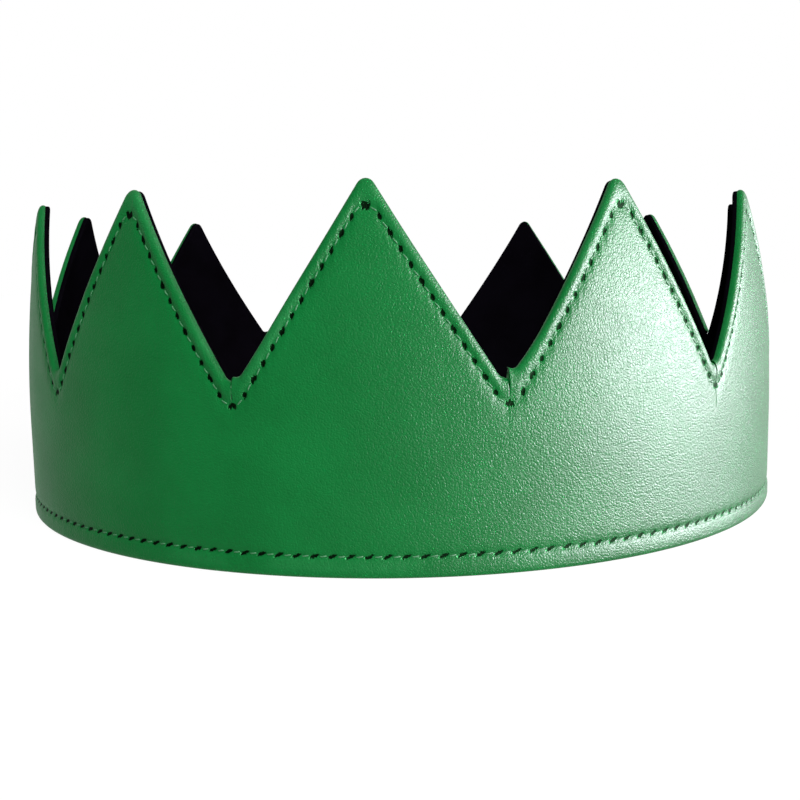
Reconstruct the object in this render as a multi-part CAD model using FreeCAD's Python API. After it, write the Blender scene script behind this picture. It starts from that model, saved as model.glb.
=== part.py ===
import FreeCAD, Part
import math
import os

from FreeCAD import Base, Vector

# A soft leather crown: one pointed strip of outer leather, its edges turned in and sewn,
# a thin stiffening sheet inside the turned edges and a dark lining behind them.
# The strip stands on its hem and closes on itself at a butt seam in the back.
# All sizes are in millimetres. The origin is the middle of the head opening at floor level.
# The front faces -Y, and positions along the wall are counted from there towards +X.

# Plan of the wall, measured on its outer face
mean_radius = 88.0
oval_amount = 2.2
oval_direction = -51.0
egg_amount = 0.92
egg_direction = 25.0

# Heights
crown_height = 67.9
valley_height = 33.9
lean_start_height = 20.0
tip_lean = 4.2

# Points
front_spaces = 9
back_spaces = 2
back_space_ratio = 1.21
back_flank_ratio = 1.11
points_left_of_first = 4
first_point_shift = -6.7
tip_radius = 1.8
valley_radius = 2.2
stitch_line_tip_radius = 2.4
stitch_line_valley_radius = 2.4

# Sheets
skin_thickness = 0.65
stiffener_thickness = 0.65
lining_thickness = 1.1
turned_allowance = 8.0
stiffener_clearance = 0.3
lining_inset = 0.1
lining_rim_round = 0.4
seam_gap = 0.3

# Turned edge and its stitch line
point_stitch_inset = 2.3
hem_stitch_inset = 3.9
stitch_channel_width = 0.8
stitch_channel_depth = 0.35
channel_side_run = 0.6
bead_crest_inset = 0.9
bead_height = 0.15
bead_shoulder_inset = 0.35
bead_shoulder_depth = 0.1
bead_edge_depth = 0.55
smallest_corner_radius = 0.25
valley_slit_width = 0.4
valley_slit_depth = 1.5

# Thread
stitch_pitch = 3.2
stitch_length = 1.9
stitch_width = 0.5
stitch_thickness = 0.3
stitch_clearance = 0.03
tip_stitch_length = 2.1
tip_stitch_inset = 5.1
seam_stitch_length = 4.6
seam_stitch_pitch = 4.0
seam_stitch_clearance = 0.04

# Accuracy of the wall curve
plan_samples = 2880
wall_stations = 29
wall_overrun = 12.0
slope_half_step = 0.25

inner_face_depth = skin_thickness + stiffener_thickness
back_face_depth = inner_face_depth + lining_thickness


def plan_radius(angle):
    """Radius of the outer face at an angle from the front, in radians."""
    oval = oval_amount * math.cos(2 * (angle - math.radians(oval_direction)))
    egg = egg_amount * math.cos(3 * (angle - math.radians(egg_direction)))
    return mean_radius + oval + egg


def plan_offset(angle):
    """Point of the outer face at floor level, from the centre that the radius turns about."""
    radius = plan_radius(angle)
    return Vector(radius * math.sin(angle), -radius * math.cos(angle), 0)


sample_angles = [2 * math.pi * i / plan_samples for i in range(plan_samples + 1)]
plan_box = Part.makePolygon([plan_offset(angle) for angle in sample_angles]).BoundBox


def plan_point(angle):
    """Point of the outer face at floor level, from the middle of the head opening."""
    return plan_offset(angle) - plan_box.Center


def plan_outward(angle):
    """Unit vector out of the wall, from the slope of the plan curve."""
    step = 1e-4
    along = plan_point(angle + step) - plan_point(angle - step)
    return Vector(along.y, -along.x, 0).normalize()


def lengths_around():
    """Length of wall passed at each sample angle, once around from the front."""
    lengths = [0.0]
    for before, after in zip(sample_angles, sample_angles[1:]):
        lengths.append(lengths[-1] + (plan_point(after) - plan_point(before)).Length)
    return lengths


plan_lengths = lengths_around()
perimeter = plan_lengths[-1]


def angle_at(distance):
    """Angle reached at a distance along the wall; it may be negative or over one turn."""
    turns, rest = divmod(distance, perimeter)
    low = 0
    high = plan_samples
    while high - low > 1:
        middle = (low + high) // 2
        if plan_lengths[middle] <= rest:
            low = middle
        else:
            high = middle
    share = (rest - plan_lengths[low]) / (plan_lengths[high] - plan_lengths[low])
    return 2 * math.pi * (turns + (low + share) / plan_samples)


# Places along the wall
point_pitch = perimeter / (front_spaces + back_spaces * back_space_ratio)
back_pitch = point_pitch * back_space_ratio
front_flank_run = point_pitch / 2
back_flank_run = front_flank_run * back_flank_ratio
first_front_point = first_point_shift - points_left_of_first * point_pitch
back_point = first_front_point - back_pitch
point_places = [back_point] + [first_front_point + i * point_pitch for i in range(front_spaces + 1)]
seam_place = point_places[-1] + back_pitch / 2
strip_start = seam_place - perimeter + seam_gap / 2
strip_end = seam_place - seam_gap / 2


class Wall:
    """The curved wall, as surfaces whose two coordinates are distance along it and height."""

    def __init__(self):
        low = strip_start - wall_overrun
        high = strip_end + wall_overrun
        self.places = [low + (high - low) * i / (wall_stations - 1) for i in range(wall_stations)]
        angles = [angle_at(place) for place in self.places]
        self.plan = Part.BSplineCurve()
        self.plan.interpolate(Points=[plan_point(a) for a in angles], Parameters=self.places)
        self.outward = Part.BSplineCurve()
        self.outward.interpolate(Points=[plan_outward(a) for a in angles], Parameters=self.places)
        self.surfaces = {}

    def surface(self, depth):
        """The surface that lies this deep behind the outer face."""
        if depth not in self.surfaces:
            middle = (lean_start_height + crown_height) / 2
            heights = [0, lean_start_height / 2, middle, crown_height]
            leans = [0, 0, 0, tip_lean]
            poles = []
            for foot, out in zip(self.plan.getPoles(), self.outward.getPoles()):
                row = [foot - out * (lean + depth) + Vector(0, 0, h) for h, lean in zip(heights, leans)]
                poles.append(row)
            made = Part.BSplineSurface()
            height_knots = [0, lean_start_height, crown_height]
            made.buildFromPolesMultsKnots(poles, self.plan.getMultiplicities(), [3, 1, 3],
                                          self.plan.getKnots(), height_knots, False, False, 3, 2)
            self.surfaces[depth] = made
        return self.surfaces[depth]

    def point(self, place, height, depth):
        return self.surface(depth).value(place, height)

    def out(self, place):
        """Unit vector out of the wall at a place."""
        return self.outward.value(place).normalize()


wall = Wall()


# The pointed outline in the flat pattern, as lines and tangent arcs

def flank_line(tip_centre, valley_centre):
    """Inward normal and offset of the straight edge that touches a tip arc and a valley arc."""
    across = tip_centre[0] - valley_centre[0]
    up = tip_centre[1] - valley_centre[1]
    spread = math.acos((tip_radius + valley_radius) / math.hypot(across, up))
    facing = math.atan2(up, across)
    turned = facing + spread if across < 0 else facing - spread
    normal = (math.cos(turned), math.sin(turned))
    offset = normal[0] * tip_centre[0] + normal[1] * tip_centre[1] - tip_radius
    return normal, offset


def circle_between(first, second, distance_first, distance_second):
    """Centre that lies at the given distances inside two lines."""
    (ax, az), a_offset = first
    (bx, bz), b_offset = second
    a_value = a_offset + distance_first
    b_value = b_offset + distance_second
    whole = ax * bz - az * bx
    return ((a_value * bz - az * b_value) / whole, (ax * b_value - a_value * bx) / whole)


def foot_on(line, inset, centre):
    """Point of the inset line that is nearest to a centre."""
    (nx, nz), offset = line
    gap = nx * centre[0] + nz * centre[1] - offset - inset
    return (centre[0] - nx * gap, centre[1] - nz * gap)


def has_floor(index):
    """True where the valley before this point has a level floor; the valley after the last is index 0."""
    return index % len(point_places) < back_spaces


def point_flanks(index):
    """Left and right edge lines of one point, and the centres of its two valley arcs at the edge."""
    place = point_places[index]
    left_run = back_flank_run if has_floor(index) else front_flank_run
    right_run = back_flank_run if has_floor(index + 1) else front_flank_run
    tip_centre = (place, crown_height - tip_radius)
    left_centre = (place - left_run, valley_height + valley_radius)
    right_centre = (place + right_run, valley_height + valley_radius)
    left = flank_line(tip_centre, left_centre)
    right = flank_line(tip_centre, right_centre)
    return left, right, left_centre, right_centre


def arc_radius(edge_radius, stitch_line_radius, inset):
    """Radius of a tip or valley arc at an inset, from its sizes at the edge and at the stitch line."""
    growth = (stitch_line_radius - edge_radius) / point_stitch_inset
    return max(edge_radius + growth * inset, smallest_corner_radius)


def valley_arc(edge_centre, line, inset, floored):
    """Centre and radius of a valley arc at an inset."""
    radius = arc_radius(valley_radius, stitch_line_valley_radius, inset)
    move = valley_radius + inset - radius
    normal_x, normal_z = line[0]
    if floored:
        shift = move * (1 + normal_z) / normal_x
        drop = move
    else:
        shift = 0.0
        drop = -move / normal_z
    return (edge_centre[0] + shift, edge_centre[1] - drop), radius


def pointed_outline(inset):
    """Lines and arcs of the pointed edge from seam to seam, moved inward by the inset."""
    rows = []
    here = (strip_start, valley_height - inset)
    for index in range(len(point_places)):
        left, right, left_centre, right_centre = point_flanks(index)
        left_arc, left_radius = valley_arc(left_centre, left, inset, has_floor(index))
        right_arc, right_radius = valley_arc(right_centre, right, inset, has_floor(index + 1))
        tip_arc = arc_radius(tip_radius, stitch_line_tip_radius, inset)
        tip_centre = circle_between(left, right, inset + tip_arc, inset + tip_arc)
        if has_floor(index):
            floor_end = (left_arc[0], left_arc[1] - left_radius)
            rows.append(("line", here, floor_end))
            here = floor_end
        valley_end = foot_on(left, inset, left_arc)
        rows.append(("arc", left_arc, left_radius, here, valley_end))
        tip_start = foot_on(left, inset, tip_centre)
        tip_end = foot_on(right, inset, tip_centre)
        rows.append(("line", valley_end, tip_start))
        rows.append(("arc", tip_centre, tip_arc, tip_end, tip_start))
        flank_foot = foot_on(right, inset, right_arc)
        rows.append(("line", tip_end, flank_foot))
        here = flank_foot
        if has_floor(index + 1):
            floor_start = (right_arc[0], right_arc[1] - right_radius)
            rows.append(("arc", right_arc, right_radius, flank_foot, floor_start))
            here = floor_start
    rows.append(("line", here, (strip_end, here[1])))
    return rows


def hem_outline(inset):
    return [("line", (strip_start, inset), (strip_end, inset))]


def edge_on_wall(row, depth):
    """One line or arc of the flat pattern, laid on the wall at a depth."""
    if row[0] == "line":
        flat = Part.Geom2d.Line2dSegment(Base.Vector2d(*row[1]), Base.Vector2d(*row[2]))
    else:
        centre, radius, start, end = row[1:]
        first = math.atan2(start[1] - centre[1], start[0] - centre[0])
        last = math.atan2(end[1] - centre[1], end[0] - centre[0])
        if last < first:
            last += 2 * math.pi
        circle = Part.Geom2d.Circle2d(Base.Vector2d(*centre), radius)
        flat = Part.Geom2d.ArcOfCircle2d(circle, first, last)
    return flat.toShape(wall.surface(depth))


def chain(outline, inset, depth):
    return [edge_on_wall(row, depth) for row in outline(inset)]


def ends_of(outline, inset):
    rows = outline(inset)
    return rows[0][1], rows[-1][2]


def sheet_face(depth, first_outline, first_inset, second_outline, second_inset):
    """Part of the wall surface between two edges, closed by a straight line at each end."""
    first_start, first_end = ends_of(first_outline, first_inset)
    second_start, second_end = ends_of(second_outline, second_inset)
    start_line = edge_on_wall(("line", first_start, second_start), depth)
    end_line = edge_on_wall(("line", first_end, second_end), depth)
    first = chain(first_outline, first_inset, depth)
    second = chain(second_outline, second_inset, depth)
    loop = first + [end_line] + second[::-1] + [start_line]
    face = Part.Face(wall.surface(depth), Part.Wire(loop))
    face.validate()
    return face, start_line, end_line


def straight_edge(place, first, second):
    """Straight edge across the thickness at a seam end; each end is (height, depth)."""
    return Part.makeLine(wall.point(place, *first), wall.point(place, *second))


def sheet_solid(top_section, hem_section):
    """Closed solid of one sheet, from the sections of its pointed edge and its hem.

    A section lists (inset from the edge, depth) from the outer face over the edge
    to the inner face. Both sections have the same depths.
    """
    faces = []
    start_edges = []
    end_edges = []
    for (top_inset, depth), (hem_inset, _) in ((top_section[0], hem_section[0]),
                                               (top_section[-1], hem_section[-1])):
        face, start_line, end_line = sheet_face(depth, hem_outline, hem_inset, pointed_outline, top_inset)
        faces.append(face)
        start_edges.append(start_line)
        end_edges.append(end_line)
    for outline, section in ((pointed_outline, top_section), (hem_outline, hem_section)):
        for (inset, depth), (next_inset, next_depth) in zip(section, section[1:]):
            if depth == next_depth:
                face, start_line, end_line = sheet_face(depth, outline, inset, outline, next_inset)
                faces.append(face)
                start_edges.append(start_line)
                end_edges.append(end_line)
                continue
            here = chain(outline, inset, depth)
            there = chain(outline, next_inset, next_depth)
            start, end = ends_of(outline, inset)
            next_start, next_end = ends_of(outline, next_inset)
            start_line = straight_edge(start[0], (start[1], depth), (next_start[1], next_depth))
            end_line = straight_edge(end[0], (end[1], depth), (next_end[1], next_depth))
            on_floor = outline is hem_outline and inset == next_inset == 0
            if on_floor:
                faces.append(Part.Face(Part.Wire(here + [end_line] + there + [start_line])))
            else:
                faces += [Part.makeRuledSurface(a, b) for a, b in zip(here, there)]
            start_edges.append(start_line)
            end_edges.append(end_line)
    for edges in (start_edges, end_edges):
        faces.append(Part.Face(Part.Wire(Part.__sortEdges__(edges))))
    shell = Part.makeShell(faces)
    shell.sewShape()
    return Part.makeSolid(shell)


def wall_frame(place, height):
    """Unit vectors level along the wall, up it, and out of it."""
    out = wall.out(place)
    level = Vector(-out.y, out.x, 0)
    up = wall.point(place, height + slope_half_step, 0) - wall.point(place, height - slope_half_step, 0)
    up.normalize()
    return level, up, level.cross(up)


def block_on_wall(place, height, slope, size, base_depth):
    """Small block whose base is centred on the wall; slope is the rise of its length."""
    length, width, thickness = size
    level, up, out = wall_frame(place, height)
    along = level * math.cos(slope) + up * math.sin(slope)
    across = out.cross(along)
    corner = wall.point(place, height, base_depth) - along * (length / 2) - across * (width / 2)
    frame = FreeCAD.Matrix(along.x, across.x, out.x, corner.x,
                           along.y, across.y, out.y, corner.y,
                           along.z, across.z, out.z, corner.z,
                           0, 0, 0, 1)
    block = Part.makeBox(length, width, thickness)
    block.Placement = FreeCAD.Placement(frame)
    return block


def valley_middles():
    """Places of the valleys between neighbouring points; the seam valley is left out."""
    return [(a + b) / 2 for a, b in zip(point_places, point_places[1:])]


def valley_slit(place):
    """Cutter for the snip in the turned edge at the bottom of a valley."""
    reach_above = valley_radius
    size = (valley_slit_depth + reach_above, valley_slit_width, skin_thickness + back_face_depth)
    middle = valley_height - valley_slit_depth + size[0] / 2
    return block_on_wall(place, middle, math.pi / 2, size, inner_face_depth + skin_thickness / 2)


def turned_edge(stitch_inset):
    """Section of the leather at a turned and stitched edge."""
    half_channel = stitch_channel_width / 2
    return [
        (stitch_inset + half_channel + channel_side_run, 0.0),
        (stitch_inset + half_channel, stitch_channel_depth),
        (stitch_inset - half_channel, stitch_channel_depth),
        (stitch_inset - half_channel - channel_side_run, 0.0),
        (bead_crest_inset, -bead_height),
        (bead_shoulder_inset, bead_shoulder_depth),
        (0.0, bead_edge_depth),
        (0.0, inner_face_depth),
        (turned_allowance, inner_face_depth),
        (turned_allowance, skin_thickness),
    ]


def make_outer_skin():
    """Outer leather with its edges turned in, a rounded bead and a pressed stitch channel."""
    slits = [valley_slit(place) for place in valley_middles()]
    skin = sheet_solid(turned_edge(point_stitch_inset), turned_edge(hem_stitch_inset))
    return skin.cut(Part.makeCompound(slits))


def make_stiffener():
    """Thin sheet that fills the hollow inside the turned edges."""
    inset = turned_allowance + stiffener_clearance
    section = [(inset, skin_thickness), (inset, inner_face_depth)]
    return sheet_solid(section, section)


def make_lining():
    """Dark backing on the inside, just short of the edges, its inner rim slightly rounded."""
    section = [
        (lining_inset, inner_face_depth),
        (lining_inset, back_face_depth - lining_rim_round),
        (lining_inset + lining_rim_round, back_face_depth),
    ]
    return sheet_solid(section, section)


def stitch(place, height, slope):
    """One thread stitch lying in the pressed channel."""
    size = (stitch_length, stitch_width, stitch_thickness)
    return block_on_wall(place, height, slope, size, stitch_channel_depth - stitch_clearance)


def tip_stitch(place):
    """Short level stitch that joins the two flank rows across a point."""
    size = (tip_stitch_length, stitch_width, stitch_thickness)
    return block_on_wall(place, crown_height - tip_stitch_inset, 0.0, size, -stitch_clearance)


def stitch_row(run_length, place_on_run):
    """Evenly spaced stitches along a run; place_on_run gives (place, height, slope)."""
    count = round(run_length / stitch_pitch)
    step = run_length / count
    return [stitch(*place_on_run((i + 0.5) * step)) for i in range(count)]


def flank_stitches(start_place, arc_centre, radius, flank, side):
    """Stitches from a valley's middle up to a point; side is 1 where the point is towards +X."""
    (normal_x, normal_z), _ = flank
    rise = math.atan2(abs(normal_x), abs(normal_z))
    level_run = abs(arc_centre[0] - start_place)
    arc_run = radius * rise
    arc_top = arc_centre[1] - radius * math.cos(rise)
    flank_run = (crown_height - tip_stitch_inset - arc_top) / math.sin(rise)

    def place_on_run(distance):
        if distance < level_run:
            return start_place + side * distance, arc_centre[1] - radius, 0.0
        turn = min((distance - level_run) / radius, rise)
        past_arc = max(distance - level_run - arc_run, 0.0)
        across = radius * math.sin(turn) + past_arc * math.cos(rise)
        height = arc_centre[1] - radius * math.cos(turn) + past_arc * math.sin(rise)
        return arc_centre[0] + side * across, height, side * turn

    return stitch_row(level_run + arc_run + flank_run, place_on_run)


def make_point_stitching():
    """Row of stitches that follows the points, with one level stitch across below each tip."""
    middles = [strip_start] + valley_middles() + [strip_end]
    stitches = []
    for index, place in enumerate(point_places):
        left, right, left_centre, right_centre = point_flanks(index)
        left_arc = valley_arc(left_centre, left, point_stitch_inset, has_floor(index))
        right_arc = valley_arc(right_centre, right, point_stitch_inset, has_floor(index + 1))
        stitches += flank_stitches(middles[index], *left_arc, left, 1)
        stitches += flank_stitches(middles[index + 1], *right_arc, right, -1)
        stitches.append(tip_stitch(place))
    return Part.makeCompound(stitches)


def make_hem_stitching():
    """Row of stitches along the hem."""
    def place_on_run(distance):
        return strip_start + distance, hem_stitch_inset, 0.0
    return Part.makeCompound(stitch_row(strip_end - strip_start, place_on_run))


def make_back_seam_stitching():
    """Level stitches that hold the two ends of the strip together."""
    field_start = turned_edge(hem_stitch_inset)[0][0]
    field_height = valley_height - turned_edge(point_stitch_inset)[0][0] - field_start
    count = math.floor(field_height / seam_stitch_pitch)
    size = (seam_stitch_length, stitch_width, stitch_thickness)
    stitches = []
    for i in range(count):
        height = field_start + (i + 0.5) * field_height / count
        stitches.append(block_on_wall(seam_place, height, 0.0, size, -seam_stitch_clearance))
    return Part.makeCompound(stitches)


nodes = {
    "outer_skin": make_outer_skin(),
    "stiffener": make_stiffener(),
    "lining": make_lining(),
    "point_stitching": make_point_stitching(),
    "hem_stitching": make_hem_stitching(),
    "back_seam_stitching": make_back_seam_stitching(),
}

os.makedirs("parts", exist_ok=True)
for node, shape in nodes.items():
    shape.exportStep("parts/" + node + ".step")
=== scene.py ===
import math

import bpy
import numpy as np
from mathutils import Matrix, Vector, geometry, noise


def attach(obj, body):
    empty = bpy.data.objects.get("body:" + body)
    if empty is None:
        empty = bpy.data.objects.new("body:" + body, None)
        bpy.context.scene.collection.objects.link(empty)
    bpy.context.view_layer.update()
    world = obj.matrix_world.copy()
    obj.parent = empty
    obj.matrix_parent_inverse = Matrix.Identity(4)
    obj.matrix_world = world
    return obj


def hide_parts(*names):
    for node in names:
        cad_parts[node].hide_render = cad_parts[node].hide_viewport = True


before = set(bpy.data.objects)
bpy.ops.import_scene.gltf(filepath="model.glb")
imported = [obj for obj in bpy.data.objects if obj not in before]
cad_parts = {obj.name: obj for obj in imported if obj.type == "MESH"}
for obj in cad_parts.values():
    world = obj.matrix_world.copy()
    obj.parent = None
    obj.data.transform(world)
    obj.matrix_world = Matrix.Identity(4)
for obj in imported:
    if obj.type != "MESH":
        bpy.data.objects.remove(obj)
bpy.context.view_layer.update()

# The crown is worked out in millimetres on its flat pattern: distance along the wall from
# the front, height above the floor, and depth behind the outer face.
METRES = 0.001

# Plan of the wall, measured on its outer face
mean_radius = 88.0
oval_amount = 2.2
oval_direction = math.radians(-51.0)
egg_amount = 0.92
egg_direction = math.radians(25.0)
plan_samples = 2880

# Heights
crown_height = 67.9
valley_height = 33.9
lean_start_height = 20.0
tip_lean = 4.2

# Points
front_spaces = 9
back_spaces = 2
back_space_ratio = 1.21
back_flank_ratio = 1.11
points_left_of_first = 4
first_point_shift = -6.7
tip_radius = 1.8
valley_radius = 2.2
stitch_line_tip_radius = 2.4
stitch_line_valley_radius = 2.4
smallest_corner_radius = 0.25

# Sheets; far_across marks the field, where no stitch is near
back_face_depth = 2.4
far_across = 9.0

# Stitching
point_stitch_inset = 2.3
hem_stitch_inset = 3.9
stitch_pitch = 3.2
thread_radius = 0.13
thread_visible_share = 0.5
thread_slant = math.radians(9.0)
thread_lift = 0.16
thread_thinning = 0.45
thread_dip = 0.38
thread_sides = 6
thread_stations = 7

# Stitches of the closing seam; they stand just beside the seam's own line
seam_count = 6
seam_end_gap = 4.5
seam_thread_length = 4.2
seam_thread_lift = -0.12
seam_thread_shift = -0.001

# Section of the turned edge as (inset from the edge, depth), from the lining over the bead
bead_section = [
    (0.05, 1.3), (0.0, 1.0), (0.0, 0.72), (0.05, 0.45),
    (0.18, 0.2), (0.4, 0.02), (0.68, -0.1), (1.0, -0.15),
]
# Section of the pressed channel as (distance inside the stitch line, depth)
channel_section = [
    (-1.0, -0.12), (-0.75, -0.04), (-0.5, 0.08), (-0.25, 0.22), (0.0, 0.28), (0.25, 0.25),
    (0.5, 0.17), (0.85, 0.09), (1.3, 0.04), (1.9, 0.01), (2.6, 0.0),
]

# Section of the lining's rim, from the leather over the edge to the inner face
lining_section = [
    (0.1, 1.32), (0.1, 1.8), (0.12, 2.1), (0.2, 2.28),
    (0.36, 2.37), (0.62, 2.4), (1.5, 2.4), (3.0, 2.4),
]

# The snip in the turned edge at each valley; the steps of the bead beside the snips are uneven
snip_width = 0.34
snip_depth = 0.7
snip_drop = 0.9
snip_reach = 2.0
snip_steps = [0.8, 0.6, 0.9, 0.3, 0.8, 1.9, 0.4, 0.7, 0.9, 0.6]
snip_step_run = 7.0

# Unevenness of the handwork
edge_wander = 0.12
bead_swell = 0.06
pucker_depth = 0.035
field_wave = 0.12
bead_half_width = 0.8
bead_swell_scale = 5.0
pucker_half_width = 1.3
edge_wander_scale = 14.0
field_wave_scale = 22.0
field_wave_start = 8.0
seam_roll_depth = 0.35
seam_roll_width = 0.35

# Fineness of the meshes
skin_step = 0.42
skin_field_spacing = 2.2
lining_step = 1.2
lining_field_spacing = 3.0
run_samples = 8
run_search_reach = 6.0
slope_half_step = 1e-4

# Camera of the photograph
camera_place = (0.848, -256.865, 51.775)
camera_pitch = 0.12278
camera_yaw = -0.00726
camera_roll = -0.01779
camera_focal_pixels = 1019.46
image_width = 800
sensor_width = 36.0

# Colours
leather_deep = (0.0025, 0.16, 0.03, 1)
leather_light = (0.0035, 0.195, 0.038, 1)
leather_fleck = (0.003, 0.125, 0.026, 1)
# Painted highlight: a paler green for the bead's crest
leather_crest_highlight = (0.04, 0.27, 0.09, 1)
# Painted shade: near-black for the needle holes
hole_painted_shade = (0.0015, 0.006, 0.002, 1)
lining_deep = (0.0024, 0.0019, 0.0032, 1)
lining_light = (0.0036, 0.0028, 0.005, 1)
thread_deep = (0.03, 0.2, 0.07, 1)
thread_light = (0.14, 0.36, 0.19, 1)
interlining_deep = (0.5, 0.5, 0.46, 1)
interlining_light = (0.68, 0.68, 0.63, 1)

# Needle holes, painted dark as their shade, and the painted highlight on the bead's crest, in
# millimetres and shares
hole_half_length = 0.8
hole_half_width = 0.3
hole_slant = 0.35
hole_raggedness = 0.7
bead_crest_across = 1.4
crest_highlight_share = 0.3

# Light and ground; the ground turns fully white between the two distances in metres
world_fill = 0.03
crown_middle_height = 0.035
ground_reach = 3.0
ground_near_level = 0.95
ground_white_start = 0.15
ground_white_end = 0.6


# The wall

def plan_radius(angle):
    oval = oval_amount * np.cos(2 * (angle - oval_direction))
    egg = egg_amount * np.cos(3 * (angle - egg_direction))
    return mean_radius + oval + egg


def plan_offset(angle):
    radius = plan_radius(angle)
    return np.stack([radius * np.sin(angle), -radius * np.cos(angle)], axis=-1)


sample_angles = np.linspace(0, 2 * np.pi, plan_samples + 1)
sample_points = plan_offset(sample_angles)
plan_middle = (sample_points.min(axis=0) + sample_points.max(axis=0)) / 2
sample_steps = np.linalg.norm(np.diff(sample_points, axis=0), axis=1)
plan_lengths = np.concatenate([[0], np.cumsum(sample_steps)])
perimeter = plan_lengths[-1]

point_pitch = perimeter / (front_spaces + back_spaces * back_space_ratio)
back_pitch = point_pitch * back_space_ratio
front_flank_run = point_pitch / 2
back_flank_run = front_flank_run * back_flank_ratio
first_front_point = first_point_shift - points_left_of_first * point_pitch
point_places = [first_front_point - back_pitch]
point_places += [first_front_point + i * point_pitch for i in range(front_spaces + 1)]
seam_place = point_places[-1] + back_pitch / 2
strip_start = seam_place - perimeter
valley_middles = [(a + b) / 2 for a, b in zip(point_places, point_places[1:])]


def wall_points(place, height, depth):
    """Points in metres from places in the flat pattern."""
    place = np.asarray(place, float)
    height = np.asarray(height, float)
    angle = np.interp(place % perimeter, plan_lengths, sample_angles)
    along = plan_offset(angle + slope_half_step) - plan_offset(angle - slope_half_step)
    along /= np.linalg.norm(along, axis=-1, keepdims=True)
    outward = np.stack([along[..., 1], -along[..., 0]], axis=-1)
    rise = np.clip((height - lean_start_height) / (crown_height - lean_start_height), 0, None)
    inward = tip_lean * rise ** 2 + np.asarray(depth, float)
    flat = plan_offset(angle) - plan_middle - outward * inward[..., None]
    return np.concatenate([flat, height[..., None]], axis=-1) * METRES


# The pointed edge

def flank(tip_centre, valley_centre):
    """Inward normal of the straight edge that touches a tip arc and a valley arc."""
    across = tip_centre[0] - valley_centre[0]
    up = tip_centre[1] - valley_centre[1]
    spread = math.acos((tip_radius + valley_radius) / math.hypot(across, up))
    facing = math.atan2(up, across)
    turned = facing + spread if across < 0 else facing - spread
    return np.array([math.cos(turned), math.sin(turned)])


def has_floor(index):
    """True where the valley before this point has a level floor; after the last comes index 0."""
    return index % len(point_places) < back_spaces


def arc_radius(edge_radius, stitch_line_radius, inset):
    """Radius of a tip or valley arc at an inset, between the edge and the stitch line."""
    growth = (stitch_line_radius - edge_radius) / point_stitch_inset
    return max(edge_radius + growth * inset, smallest_corner_radius)


class CrownPoint:
    """One point of the crown in the flat pattern, with its two flanks."""

    def __init__(self, index):
        self.index = index
        self.place = point_places[index]
        self.tip = np.array([self.place, crown_height - tip_radius])
        left_run = back_flank_run if has_floor(index) else front_flank_run
        right_run = back_flank_run if has_floor(index + 1) else front_flank_run
        floor = valley_height + valley_radius
        self.left_valley = np.array([self.place - left_run, floor])
        self.right_valley = np.array([self.place + right_run, floor])
        self.left_normal = flank(self.tip, self.left_valley)
        self.right_normal = flank(self.tip, self.right_valley)
        self.left_rise = math.atan2(abs(self.left_normal[0]), abs(self.left_normal[1]))
        self.right_rise = math.atan2(abs(self.right_normal[0]), abs(self.right_normal[1]))

    def tip_circle(self, inset):
        """Centre and radius of the rounded tip at an inset."""
        radius = arc_radius(tip_radius, stitch_line_tip_radius, inset)
        sink = inset + radius - tip_radius
        normals = np.stack([self.left_normal, self.right_normal])
        return self.tip + np.linalg.solve(normals, [sink, sink]), radius

    def valley_circle(self, on_left, inset):
        """Centre and radius of the valley arc beside the point at an inset."""
        centre = self.left_valley if on_left else self.right_valley
        normal = self.left_normal if on_left else self.right_normal
        floored = has_floor(self.index if on_left else self.index + 1)
        radius = arc_radius(valley_radius, stitch_line_valley_radius, inset)
        move = valley_radius + inset - radius
        if floored:
            return centre + np.array([move * (1 + normal[1]) / normal[0], -move]), radius
        return centre + np.array([0.0, move / normal[1]]), radius


crown_points = [CrownPoint(i) for i in range(len(point_places))]


def arc(centre, radius, start, end, fractions):
    angle = start + (end - start) * fractions
    return np.stack([centre[0] + radius * np.cos(angle), centre[1] + radius * np.sin(angle)], axis=-1)


def straight(start, end, fractions):
    return start + (end - start) * fractions[:, None]


class EdgeSamples:
    """Stations along the pointed edge; the same stations serve every inset."""

    def __init__(self, flank_step, arc_count, tip_count):
        self.arc = np.linspace(0, 1, arc_count + 1)
        self.tip = np.linspace(0, 1, tip_count + 1)
        front_point = crown_points[3]
        flank_length = (crown_height - valley_height) / math.sin(front_point.left_rise)
        self.line = np.linspace(0, 1, int(flank_length / flank_step) + 1)

    def points(self, inset):
        """Places and heights along the edge at an inset, and the rows of the valleys' middles."""
        rows = []
        middles = []
        down = -math.pi / 2
        here = np.array([strip_start, valley_height - inset])
        for number, point in enumerate(crown_points):
            left_centre, left_radius = point.valley_circle(True, inset)
            right_centre, right_radius = point.valley_circle(False, inset)
            if has_floor(number):
                foot = left_centre - np.array([0, left_radius])
                rows.append(straight(here, foot, self.arc)[:-1])
            rows.append(arc(left_centre, left_radius, down, down + point.left_rise, self.arc)[:-1])
            centre, tip_arc = point.tip_circle(inset)
            flank_start = left_centre + point.left_normal * left_radius
            tip_start = centre - point.left_normal * tip_arc
            tip_end = centre - point.right_normal * tip_arc
            flank_end = right_centre + point.right_normal * right_radius
            rows.append(straight(flank_start, tip_start, self.line)[:-1])
            turn_start = math.pi / 2 + point.left_rise
            turn_end = math.pi / 2 - point.right_rise
            rows.append(arc(centre, tip_arc, turn_start, turn_end, self.tip)[:-1])
            rows.append(straight(tip_end, flank_end, self.line)[:-1])
            rows.append(arc(right_centre, right_radius, down - point.right_rise, down, self.arc)[:-1])
            here = right_centre - np.array([0, right_radius])
            if number < len(valley_middles):
                middle = np.array([valley_middles[number], here[1]])
                if has_floor(number + 1):
                    rows.append(straight(here, middle, self.arc)[:-1])
                middles.append(sum(len(row) for row in rows))
                rows.append(np.stack([middle] * 3))
                here = middle
        rows.append(straight(here, np.array([seam_place, here[1]]), self.arc))
        return np.concatenate(rows), middles


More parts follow.
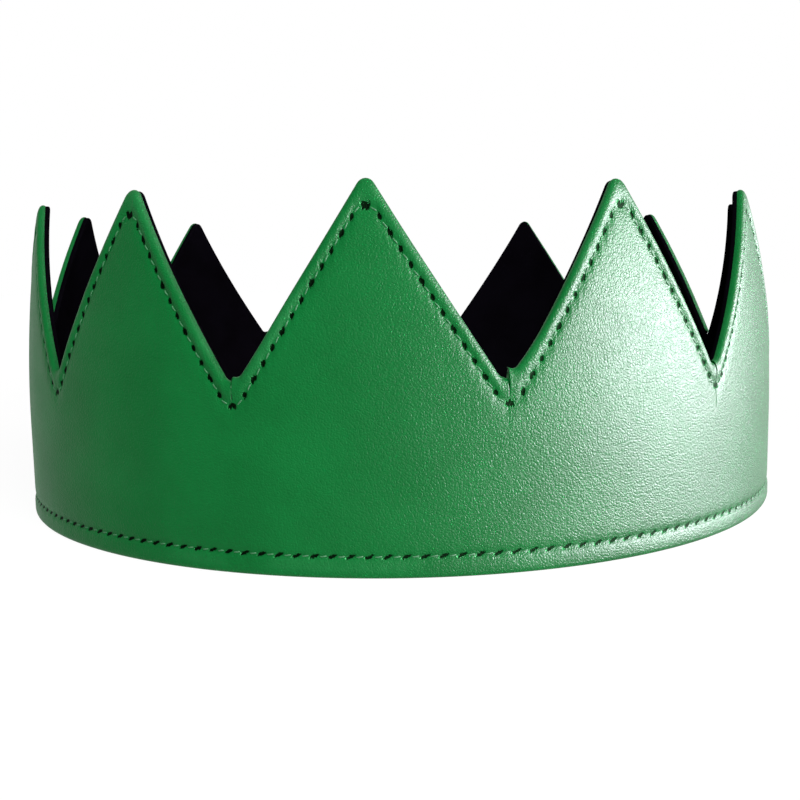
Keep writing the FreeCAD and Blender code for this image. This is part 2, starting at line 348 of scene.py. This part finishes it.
def pointed_edge_rings(section, samples, snipped):
    """Rows of (place, height, depth), one row for each station of the section."""
    rings = []
    for inset, depth in section:
        flat, middles = samples.points(inset)
        ring = np.concatenate([flat, np.full((len(flat), 1), depth)], axis=1)
        if snipped:
            snip_edge(ring, middles, inset)
        rings.append(ring)
    return np.stack(rings)


def snip_edge(ring, middles, inset):
    """Cuts the turned edge at each valley: a groove, with the bead stepped up on its +X side."""
    open_share = max(1 - inset / snip_reach, 0)
    step_share = max(1 - inset / point_stitch_inset, 0)
    for row, snip_step in zip(middles, snip_steps):
        middle = ring[row, 0]
        ring[row, 0] -= snip_width / 2 * open_share
        ring[row + 2, 0] += snip_width / 2 * open_share
        ring[row + 1, 1] -= snip_drop * open_share
        ring[row + 1, 2] += snip_depth * open_share
        far = ring[row + 2:, 0] - middle
        near = far < snip_step_run
        fade = np.where(near, (1 - np.clip(far / snip_step_run, 0, 1)) ** 2, 0)
        ring[row + 2:, 1] += snip_step * step_share * fade


def hem_rings(section, step):
    """Rows of (place, height, depth) along the hem."""
    count = int(perimeter / step)
    places = np.linspace(strip_start, seam_place, count + 1)
    return np.stack([
        np.stack([places, np.full_like(places, inset), np.full_like(places, depth)], axis=-1)
        for inset, depth in section
    ])


# Stitches

class StitchRun:
    """A run of evenly spaced stitches, with the place and slope at any distance on it."""

    def __init__(self, length, place_at):
        self.place_at = place_at
        self.count = round(length / stitch_pitch)
        self.step = length / self.count

    def stitches(self):
        return [self.place_at((i + 0.5) * self.step) for i in range(self.count)]


def flank_run(point, side):
    """Stitch run from a valley's middle up to a tip; side is 1 on the point's -X flank."""
    middles = [strip_start] + valley_middles + [seam_place]
    start = middles[point.index] if side == 1 else middles[point.index + 1]
    centre, radius = point.valley_circle(side == 1, point_stitch_inset)
    tip_centre, tip_arc = point.tip_circle(point_stitch_inset)
    normal = point.left_normal if side == 1 else point.right_normal
    rise = point.left_rise if side == 1 else point.right_rise
    level_run = abs(centre[0] - start)
    arc_run = radius * rise
    line_run = np.linalg.norm(tip_centre - normal * tip_arc - centre - normal * radius)
    before_tip = level_run + arc_run + line_run

    def place_at(distance):
        if distance < level_run:
            return start + side * distance, centre[1] - radius, 0.0
        if distance > before_tip:
            turn = rise - (distance - before_tip) / tip_arc
            return (tip_centre[0] - side * tip_arc * math.sin(turn),
                    tip_centre[1] + tip_arc * math.cos(turn), side * turn)
        turn = min((distance - level_run) / radius, rise)
        past = max(distance - level_run - arc_run, 0.0)
        across = radius * math.sin(turn) + past * math.cos(rise)
        height = centre[1] - radius * math.cos(turn) + past * math.sin(rise)
        return centre[0] + side * across, height, side * turn

    return StitchRun(before_tip + tip_arc * rise, place_at)


point_runs = [flank_run(point, side) for point in crown_points for side in (1, -1)]
hem_run = StitchRun(perimeter, lambda distance: (strip_start + distance, hem_stitch_inset, 0.0))
point_stitches = [stitch for run in point_runs for stitch in run.stitches()]


# Meshes

def make_object(name, points, faces, uv=None):
    """A smooth-shaded mesh object in metres."""
    mesh = bpy.data.meshes.new(name)
    mesh.from_pydata([tuple(p) for p in points], [], [tuple(f) for f in faces])
    mesh.polygons.foreach_set("use_smooth", [True] * len(mesh.polygons))
    if uv is not None:
        layer = mesh.uv_layers.new(name="stitch_map")
        corners = np.empty(len(mesh.loops), int)
        mesh.loops.foreach_get("vertex_index", corners)
        layer.data.foreach_set("uv", np.asarray(uv, float)[corners].ravel())
    mesh.update()
    made = bpy.data.objects.new(name, mesh)
    bpy.context.scene.collection.objects.link(made)
    return made


def strip_faces(rows, columns, first, flip):
    """Quads between neighbouring rows of a grid of points."""
    faces = []
    for row in range(rows - 1):
        base = first + row * columns
        for column in range(columns - 1):
            a = base + column
            quad = (a, a + 1, a + 1 + columns, a + columns)
            faces.append(quad[::-1] if flip else quad)
    return faces


def fill_between(upper, lower, spacing):
    """Triangles of the flat pattern between an upper and a lower row of (place, height).

    Returns the points inside and the faces; indices count upper, then lower, then inside.
    """
    boundary = np.concatenate([upper, lower])
    count = len(upper)
    total = len(boundary)
    inside = []
    low = lower[:, 1].max()
    columns = np.arange(strip_start + spacing / 2, seam_place, spacing)
    for number, place in enumerate(columns):
        beside = [place - spacing / 2, place, place + spacing / 2]
        top = min(np.interp(beside, upper[:, 0], upper[:, 1]))
        start = low + spacing * (1.0 if number % 2 else 0.6)
        inside += [(place, height) for height in np.arange(start, top - spacing * 0.6, spacing)]
    inside = np.array(inside)
    points = [Vector(p) for p in np.concatenate([boundary, inside])]
    ring = list(range(count)) + list(range(total - 1, count - 1, -1))
    edges = [(a, b) for a, b in zip(ring, ring[1:] + ring[:1])]
    result = geometry.delaunay_2d_cdt(points, edges, [], 1, 1e-7)
    origin = [found[0] if found else -1 for found in result[3]]
    faces = [[origin[i] for i in face] for face in result[2]]
    faces = [face for face in faces if min(face) >= 0]
    return inside, faces


def roughly(values, scale, seed):
    """Smooth noise from -1 to 1 at flat places."""
    return np.array([noise.noise((x / scale, y / scale, seed)) for x, y in values])


def seam_roll(place):
    """Depth by which the sheet rolls in towards the closing seam."""
    away = np.minimum(place - strip_start, seam_place - place)
    return seam_roll_depth * np.exp(-(away / seam_roll_width) ** 2)


def distance_on_runs(flat, runs):
    """Position along the nearest stitch run, in stitches, for flat places near it."""
    places = []
    counts = []
    for run in runs:
        steps = np.linspace(0, run.count, run.count * run_samples + 1)
        places += [run.place_at(step * run.step)[:2] for step in steps]
        counts += list(steps)
    places = np.array(places)
    counts = np.array(counts)
    order = np.argsort(places[:, 0])
    places = places[order]
    counts = counts[order]
    found = np.empty(len(flat))
    starts = np.searchsorted(places[:, 0], flat[:, 0] - run_search_reach)
    ends = np.searchsorted(places[:, 0], flat[:, 0] + run_search_reach)
    for number, (x, y) in enumerate(flat):
        near = places[starts[number]:ends[number]]
        gap = (near[:, 0] - x) ** 2 + (near[:, 1] - y) ** 2
        best = gap.argmin()
        found[number] = counts[starts[number] + best]
    return found


def edge_section(stitch_inset):
    """Whole section of a turned edge, and its insets as a column."""
    section = bead_section + [(stitch_inset + inside, depth) for inside, depth in channel_section]
    return section, np.array([inset for inset, _ in section])[:, None]


def dress_edge(rings, insets, stitch_inset, along, seed):
    """Adds the handwork's unevenness: a swelling bead and a pucker at each stitch."""
    crest = np.exp(-((insets - stitch_inset / 2) / bead_half_width) ** 2)
    swell = roughly(rings[-1, :, :2], bead_swell_scale, seed)[None, :]
    rings[:, :, 2] -= crest * bead_swell * swell
    near = np.exp(-((insets - stitch_inset) / pucker_half_width) ** 2)
    rings[:, :, 2] += pucker_depth * near * np.cos(2 * np.pi * along)[None, :]


def wander_edge(rings, insets):
    """Lets the pointed edge wander a little in height."""
    share = np.clip(1 - insets / point_stitch_inset, 0, 1)
    wander = roughly(rings[-1, :, :2], edge_wander_scale, 1.0)
    rings[:, :, 1] += share * edge_wander * wander[None, :]


def ring_faces(top, hem, faces, turned):
    """Faces of a sheet from its top rings, its hem rings and the triangles between them."""
    top_count = top.shape[1]
    hem_count = hem.shape[1]
    hem_first = top.shape[0] * top_count
    inside_first = hem_first + hem.shape[0] * hem_count
    numbers = np.concatenate([
        np.arange(hem_first - top_count, hem_first),
        np.arange(inside_first - hem_count, inside_first),
        np.arange(inside_first, inside_first + 1 + max(max(face) for face in faces)),
    ])
    quads = strip_faces(top.shape[0], top_count, 0, flip=not turned)
    quads += strip_faces(hem.shape[0], hem_count, hem_first, flip=turned)
    step = -1 if turned else 1
    return quads + [[int(numbers[i]) for i in face][::step] for face in faces]


def make_outer_skin():
    """The leather strip: bead, stitch channel and field, with the snips in its valleys."""
    samples = EdgeSamples(flank_step=skin_step, arc_count=9, tip_count=8)
    top_section, top_insets = edge_section(point_stitch_inset)
    hem_section, hem_insets = edge_section(hem_stitch_inset)
    top = pointed_edge_rings(top_section, samples, snipped=True)
    hem = hem_rings(hem_section, skin_step)
    top_along = distance_on_runs(samples.points(point_stitch_inset)[0], point_runs)
    hem_along = (hem[0, :, 0] - strip_start) / hem_run.step
    wander_edge(top, top_insets)
    dress_edge(top, top_insets, point_stitch_inset, top_along, 8.0)
    dress_edge(hem, hem_insets, hem_stitch_inset, hem_along, 9.0)
    inside, faces = fill_between(top[-1, :, :2], hem[-1, :, :2], skin_field_spacing)
    edge_gap = np.clip((inside[:, 1] - hem_section[-1][0]) / field_wave_start, 0, 1)
    wave = field_wave * roughly(inside, field_wave_scale, 4.0) * edge_gap
    inside = np.concatenate([inside, wave[:, None]], axis=1)
    flat = np.concatenate([top.reshape(-1, 3), hem.reshape(-1, 3), inside])
    flat[:, 2] += seam_roll(flat[:, 0])
    points = wall_points(flat[:, 0], flat[:, 1], flat[:, 2])
    along = np.concatenate([
        np.tile(top_along, top.shape[0]), np.tile(hem_along, hem.shape[0]), np.zeros(len(inside))])
    across = np.concatenate([
        np.repeat(top_insets - point_stitch_inset, top.shape[1]),
        np.repeat(hem_insets - hem_stitch_inset, hem.shape[1]),
        np.full(len(inside), far_across)])
    uv = np.stack([along, across], axis=-1)
    return make_object("leather_skin", points, ring_faces(top, hem, faces, turned=False), uv)


def make_lining():
    """The dark backing, with a softly rounded rim."""
    samples = EdgeSamples(flank_step=lining_step, arc_count=6, tip_count=8)
    top = pointed_edge_rings(lining_section, samples, snipped=False)
    hem = hem_rings(lining_section, lining_step)
    inside, faces = fill_between(top[-1, :, :2], hem[-1, :, :2], lining_field_spacing)
    inside = np.concatenate([inside, np.full((len(inside), 1), back_face_depth)], axis=1)
    flat = np.concatenate([top.reshape(-1, 3), hem.reshape(-1, 3), inside])
    flat[:, 2] -= seam_roll(flat[:, 0])
    points = wall_points(flat[:, 0], flat[:, 1], flat[:, 2])
    return make_object("dark_lining", points, ring_faces(top, hem, faces, turned=True))


def make_thread(name, stitches, length, lift):
    """Thread lying in the channel: one small arched tube for each stitch."""
    sides = thread_sides
    stations = np.linspace(-1, 1, thread_stations)
    points = []
    faces = []
    for place, height, slope in stitches:
        turned = slope + thread_slant
        first = len(points)
        for station in stations:
            run = station * length / 2
            x = place + run * math.cos(turned)
            y = height + run * math.sin(turned)
            radius = thread_radius * (1 - thread_thinning * abs(station) ** 3)
            sunk = lift + thread_dip * abs(station) ** 3
            for side in range(sides):
                angle = 2 * math.pi * side / sides
                across = radius * math.cos(angle)
                points.append((x - across * math.sin(turned), y + across * math.cos(turned),
                               sunk - radius * math.sin(angle)))
        faces += [
            (first + row * sides + side, first + row * sides + (side + 1) % sides,
             first + (row + 1) * sides + (side + 1) % sides, first + (row + 1) * sides + side)
            for row in range(len(stations) - 1) for side in range(sides)
        ]
        faces.append(tuple(first + side for side in range(sides))[::-1])
        end = first + (len(stations) - 1) * sides
        faces.append(tuple(end + side for side in range(sides)))
    points = np.array(points)
    return make_object(name, wall_points(points[:, 0], points[:, 1], points[:, 2]), faces)


# Materials

def new_material(name):
    material = bpy.data.materials.new(name)
    material.use_nodes = True
    nodes = material.node_tree.nodes
    shader = nodes["Principled BSDF"]
    return material, nodes, material.node_tree.links, shader


def math_node(nodes, links, operation, first, second=None, third=None):
    """A math node fed by sockets or plain numbers; returns its output."""
    node = nodes.new("ShaderNodeMath")
    node.operation = operation
    for socket, value in zip(node.inputs, (first, second, third)):
        if value is None:
            continue
        if isinstance(value, (int, float)):
            socket.default_value = value
        else:
            links.new(value, socket)
    return node.outputs[0]


def mix_colour(nodes, links, factor, first, second):
    node = nodes.new("ShaderNodeMix")
    node.data_type = "RGBA"
    for socket, value in zip((node.inputs[0], node.inputs[6], node.inputs[7]), (factor, first, second)):
        if isinstance(value, (int, float, tuple)):
            socket.default_value = value
        else:
            links.new(value, socket)
    return node.outputs[2]


def ramp(nodes, links, value, low, high):
    """Value mapped from low..high to 0..1 with soft ends."""
    node = nodes.new("ShaderNodeMapRange")
    node.interpolation_type = "SMOOTHSTEP"
    node.inputs["From Min"].default_value = low
    node.inputs["From Max"].default_value = high
    links.new(value, node.inputs["Value"])
    return node.outputs[0]


def object_noise(nodes, links, scale, detail=3.0, roughness=0.55):
    """Noise in the object's own space; scale is in waves per metre."""
    coordinates = nodes.new("ShaderNodeTexCoord")
    texture = nodes.new("ShaderNodeTexNoise")
    texture.inputs["Scale"].default_value = scale
    texture.inputs["Detail"].default_value = detail
    texture.inputs["Roughness"].default_value = roughness
    links.new(coordinates.outputs["Object"], texture.inputs["Vector"])
    return texture.outputs["Fac"]


def object_cells(nodes, links, scale):
    """Distance to the cell walls in the object's own space; scale is in cells per metre."""
    coordinates = nodes.new("ShaderNodeTexCoord")
    texture = nodes.new("ShaderNodeTexVoronoi")
    texture.feature = "DISTANCE_TO_EDGE"
    texture.inputs["Scale"].default_value = scale
    links.new(coordinates.outputs["Object"], texture.inputs["Vector"])
    return texture.outputs["Distance"]


def relief(nodes, links, height, strength, distance, normal=None):
    """Surface relief from a height, on top of another relief where one is given."""
    bump = nodes.new("ShaderNodeBump")
    bump.inputs["Strength"].default_value = strength
    bump.inputs["Distance"].default_value = distance
    links.new(height, bump.inputs["Height"])
    if normal is not None:
        links.new(normal, bump.inputs["Normal"])
    return bump.outputs["Normal"]


def leather_material():
    """Green coated leather: pebbled grain, fine wrinkles, needle holes painted dark as their shade, and
    a painted highlight in patches along the bead's crest.
    """
    material, nodes, links, shader = new_material("green_leather")
    seam_map = nodes.new("ShaderNodeUVMap")
    seam_map.uv_map = "stitch_map"
    split = nodes.new("ShaderNodeSeparateXYZ")
    links.new(seam_map.outputs["UV"], split.inputs[0])
    along = split.outputs["X"]
    across = split.outputs["Y"]

    # Needle holes: slanted marks where one stitch ends and the next begins, painted dark as the shade
    # inside them
    whole = math_node(nodes, links, "ROUND", along)
    from_hole = math_node(nodes, links, "SUBTRACT", along, whole)
    along_mm = math_node(nodes, links, "MULTIPLY", from_hole, stitch_pitch)
    noisy = object_noise(nodes, links, 2400.0, 2.0)
    ragged = math_node(nodes, links, "MULTIPLY_ADD", noisy, hole_raggedness, -hole_raggedness / 2)
    slanted = math_node(nodes, links, "MULTIPLY_ADD", along_mm, -hole_slant, across)
    slanted = math_node(nodes, links, "ADD", slanted, ragged)
    hole_long = math_node(nodes, links, "DIVIDE", along_mm, hole_half_length)
    hole_wide = math_node(nodes, links, "DIVIDE", slanted, hole_half_width)
    long_squared = math_node(nodes, links, "MULTIPLY", hole_long, hole_long)
    wide_squared = math_node(nodes, links, "MULTIPLY", hole_wide, hole_wide)
    hole_distance = math_node(nodes, links, "ADD", long_squared, wide_squared)
    not_hole = ramp(nodes, links, hole_distance, 0.55, 1.7)

    # Colour
    blotch = object_noise(nodes, links, 60.0)
    fleck = object_noise(nodes, links, 900.0, 4.0)
    tone = ramp(nodes, links, blotch, 0.3, 0.7)
    base = mix_colour(nodes, links, tone, leather_deep, leather_light)
    fleck_share = math_node(nodes, links, "MULTIPLY", fleck, 0.35)
    flecked = mix_colour(nodes, links, fleck_share, base, leather_fleck)
    from_crest = math_node(nodes, links, "ADD", across, bead_crest_across)
    bead_far = math_node(nodes, links, "ABSOLUTE", from_crest)
    on_bead = math_node(nodes, links, "SUBTRACT", 1.0, ramp(nodes, links, bead_far, 0.6, 1.5))
    # Painted highlight: the bead's crest is made paler in patches, standing in for the light along it
    painted_crest_highlight = math_node(nodes, links, "MULTIPLY", on_bead, ramp(nodes, links, blotch, 0.4, 0.75))
    painted_crest_highlight = math_node(nodes, links, "MULTIPLY", painted_crest_highlight, crest_highlight_share)
    edged = mix_colour(nodes, links, painted_crest_highlight, flecked, leather_crest_highlight)
    # Painted shade: the needle holes are coloured near-black
    coloured = mix_colour(nodes, links, not_hole, hole_painted_shade, edged)
    links.new(coloured, shader.inputs["Base Color"])

    # Surface
    pebbles = ramp(nodes, links, object_cells(nodes, links, 1800.0), 0.0, 0.35)
    creases = ramp(nodes, links, object_cells(nodes, links, 850.0), 0.0, 0.12)
    fine = object_noise(nodes, links, 2600.0, 4.0)
    pebble_height = math_node(nodes, links, "MULTIPLY", pebbles, 0.6)
    crease_height = math_node(nodes, links, "MULTIPLY", creases, 0.35)
    fine_height = math_node(nodes, links, "MULTIPLY", fine, 0.5)
    grain = math_node(nodes, links, "ADD", pebble_height, crease_height)
    grain = math_node(nodes, links, "ADD", grain, fine_height)
    grained = relief(nodes, links, grain, 0.6, 0.0001)
    pierced = relief(nodes, links, not_hole, 0.8, 0.0003, grained)
    links.new(pierced, shader.inputs["Normal"])
    gloss = nodes.new("ShaderNodeMapRange")
    gloss.inputs["To Min"].default_value = 0.42
    gloss.inputs["To Max"].default_value = 0.52
    links.new(object_noise(nodes, links, 140.0), gloss.inputs["Value"])

    # A hole has no bright skin: its painted shade is made as a dull black metal, which mirrors next to
    # nothing
    hole = math_node(nodes, links, "SUBTRACT", 1.0, not_hole)
    links.new(hole, shader.inputs["Metallic"])
    dull_hole = math_node(nodes, links, "MULTIPLY", hole, 0.4)
    roughness = math_node(nodes, links, "ADD", gloss.outputs[0], dull_hole)
    links.new(roughness, shader.inputs["Roughness"])
    shader.inputs["Specular IOR Level"].default_value = 0.1
    return material


def lining_material():
    """Near-black backing with a fine tooth and a faint violet cast."""
    material, nodes, links, shader = new_material("dark_lining")
    tone = ramp(nodes, links, object_noise(nodes, links, 90.0), 0.3, 0.7)
    colour = mix_colour(nodes, links, tone, lining_deep, lining_light)
    links.new(colour, shader.inputs["Base Color"])
    tooth = object_noise(nodes, links, 2200.0, 4.0)
    links.new(relief(nodes, links, tooth, 0.25, 0.00008), shader.inputs["Normal"])
    shader.inputs["Roughness"].default_value = 0.9
    shader.inputs["Specular IOR Level"].default_value = 0.0
    return material


def thread_material():
    """Pale green sewing thread with a twisted ply."""
    material, nodes, links, shader = new_material("green_thread")
    ply = object_noise(nodes, links, 3200.0, 2.0)
    colour = mix_colour(nodes, links, ply, thread_deep, thread_light)
    links.new(colour, shader.inputs["Base Color"])
    links.new(relief(nodes, links, ply, 0.5, 0.00006), shader.inputs["Normal"])
    shader.inputs["Roughness"].default_value = 0.7
    shader.inputs["Specular IOR Level"].default_value = 0.16
    return material


def stiffener_material():
    """Plain pale interlining."""
    material, nodes, links, shader = new_material("interlining")
    fibres = object_noise(nodes, links, 1500.0, 4.0)
    colour = mix_colour(nodes, links, fibres, interlining_deep, interlining_light)
    links.new(colour, shader.inputs["Base Color"])
    shader.inputs["Roughness"].default_value = 0.9
    return material


def set_material(piece, material):
    piece.data.materials.clear()
    piece.data.materials.append(material)


# The pieces on the frame

def place_piece(piece, node, material):
    set_material(piece, material)
    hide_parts(node)
    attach(piece, "root")


skin = make_outer_skin()
place_piece(skin, "outer_skin", leather_material())
lining = make_lining()
place_piece(lining, "lining", lining_material())

thread = thread_material()
visible_length = stitch_pitch * thread_visible_share
point_thread = make_thread("point_thread", point_stitches, visible_length, thread_lift)
hem_thread = make_thread("hem_thread", hem_run.stitches(), visible_length, thread_lift)
place_piece(point_thread, "point_stitching", thread)
place_piece(hem_thread, "hem_stitching", thread)

seam_low = hem_stitch_inset + seam_end_gap
seam_high = valley_height - point_stitch_inset - seam_end_gap
seam_stitches = [(seam_place + seam_thread_shift, height, 0.0)
                 for height in np.linspace(seam_low, seam_high, seam_count)]
seam_thread = make_thread("seam_thread", seam_stitches, seam_thread_length, seam_thread_lift)
place_piece(seam_thread, "back_seam_stitching", thread)

set_material(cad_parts["stiffener"], stiffener_material())


# Floor, backdrop, lights and camera

def seen_rays(nodes, links):
    """1 for the rays that show the white ground: straight, mirrored or seen through glass."""
    path = nodes.new("ShaderNodeLightPath")
    straight_on = path.outputs["Is Camera Ray"]
    mirrored = path.outputs["Is Glossy Ray"]
    either = math_node(nodes, links, "MAXIMUM", straight_on, mirrored)
    return math_node(nodes, links, "MAXIMUM", either, path.outputs["Is Transmission Ray"])


def white_floor():
    """White ground that keeps a faint shadow."""
    mesh = bpy.data.meshes.new("floor")
    reach = ground_reach
    corners = [(-reach, -reach, 0), (reach, -reach, 0), (reach, reach, 0), (-reach, reach, 0)]
    mesh.from_pydata(corners, [], [(0, 1, 2, 3)])
    floor = bpy.data.objects.new("floor", mesh)
    bpy.context.scene.collection.objects.link(floor)
    material, nodes, links, shader = new_material("white_ground")
    shader.inputs["Base Color"].default_value = (0.8, 0.8, 0.8, 1)
    shader.inputs["Roughness"].default_value = 0.9
    seen = seen_rays(nodes, links)
    glow = nodes.new("ShaderNodeEmission")
    coordinates = nodes.new("ShaderNodeTexCoord")
    away = nodes.new("ShaderNodeVectorMath")
    away.operation = "LENGTH"
    links.new(coordinates.outputs["Object"], away.inputs[0])
    whiten = nodes.new("ShaderNodeMapRange")
    whiten.inputs["From Min"].default_value = ground_white_start
    whiten.inputs["From Max"].default_value = ground_white_end
    whiten.inputs["To Min"].default_value = ground_near_level
    whiten.inputs["To Max"].default_value = 1.0
    links.new(away.outputs["Value"], whiten.inputs["Value"])
    links.new(whiten.outputs[0], glow.inputs["Strength"])
    faint = nodes.new("ShaderNodeBsdfDiffuse")
    faint.inputs["Color"].default_value = (0.12, 0.12, 0.12, 1)
    shown = nodes.new("ShaderNodeAddShader")
    links.new(glow.outputs[0], shown.inputs[0])
    links.new(faint.outputs[0], shown.inputs[1])
    blend = nodes.new("ShaderNodeMixShader")
    links.new(seen, blend.inputs[0])
    links.new(shader.outputs[0], blend.inputs[1])
    links.new(shown.outputs[0], blend.inputs[2])
    links.new(blend.outputs[0], nodes["Material Output"].inputs["Surface"])
    mesh.materials.append(material)


def white_world():
    """World that looks white and lights the crown softly."""
    world = bpy.data.worlds.new("studio")
    bpy.context.scene.world = world
    world.use_nodes = True
    nodes = world.node_tree.nodes
    links = world.node_tree.links
    background = nodes["Background"]
    level = nodes.new("ShaderNodeMapRange")
    level.inputs["To Min"].default_value = world_fill
    level.inputs["To Max"].default_value = 1.0
    links.new(seen_rays(nodes, links), level.inputs["Value"])
    links.new(level.outputs[0], background.inputs["Strength"])
    background.inputs["Color"].default_value = (1, 1, 1, 1)


def soft_light(name, azimuth, elevation, distance, width, height, power):
    """Area light that faces the crown; azimuth is from the front towards +X, in degrees."""
    target = Vector((0, 0, crown_middle_height))
    turn = math.radians(azimuth)
    lift = math.radians(elevation)
    away = Vector((math.sin(turn) * math.cos(lift), -math.cos(turn) * math.cos(lift), math.sin(lift)))
    lamp = bpy.data.lights.new(name, "AREA")
    lamp.shape = "RECTANGLE"
    lamp.size = width
    lamp.size_y = height
    lamp.energy = power
    made = bpy.data.objects.new(name, lamp)
    made.location = target + away * distance
    made.rotation_euler = (-away).to_track_quat("-Z", "Y").to_euler()
    bpy.context.scene.collection.objects.link(made)
    return made


def photo_camera():
    """Camera at the photograph's place, turned and rolled as it was."""
    forward = Vector((math.sin(camera_yaw) * math.cos(camera_pitch),
                      math.cos(camera_yaw) * math.cos(camera_pitch), -math.sin(camera_pitch)))
    level_right = Vector((math.cos(camera_yaw), -math.sin(camera_yaw), 0))
    level_up = level_right.cross(forward)
    right = level_right * math.cos(camera_roll) + level_up * math.sin(camera_roll)
    up = level_up * math.cos(camera_roll) - level_right * math.sin(camera_roll)
    data = bpy.data.cameras.new("camera")
    data.sensor_width = sensor_width
    data.lens = sensor_width * camera_focal_pixels / image_width
    data.clip_start = 0.01
    made = bpy.data.objects.new("camera", data)
    turned = Matrix((right, up, -forward)).transposed().to_4x4()
    turned.translation = Vector(camera_place) * METRES
    made.matrix_world = turned
    bpy.context.scene.collection.objects.link(made)
    bpy.context.scene.camera = made


white_floor()
white_world()
# The front lamp lights colour only and the low side lamp gives only the sheen
front = soft_light("front_softbox", azimuth=22, elevation=32, distance=1.0,
                   width=0.6, height=0.5, power=8.8)
front.visible_glossy = False
sheen = soft_light("sheen_softbox", azimuth=73, elevation=4.5, distance=0.9,
                   width=0.8, height=0.2, power=155)
sheen.data.color = (0.93, 0.96, 1.0)
sheen.visible_diffuse = False
photo_camera()
bpy.context.scene.view_settings.view_transform = "Standard"
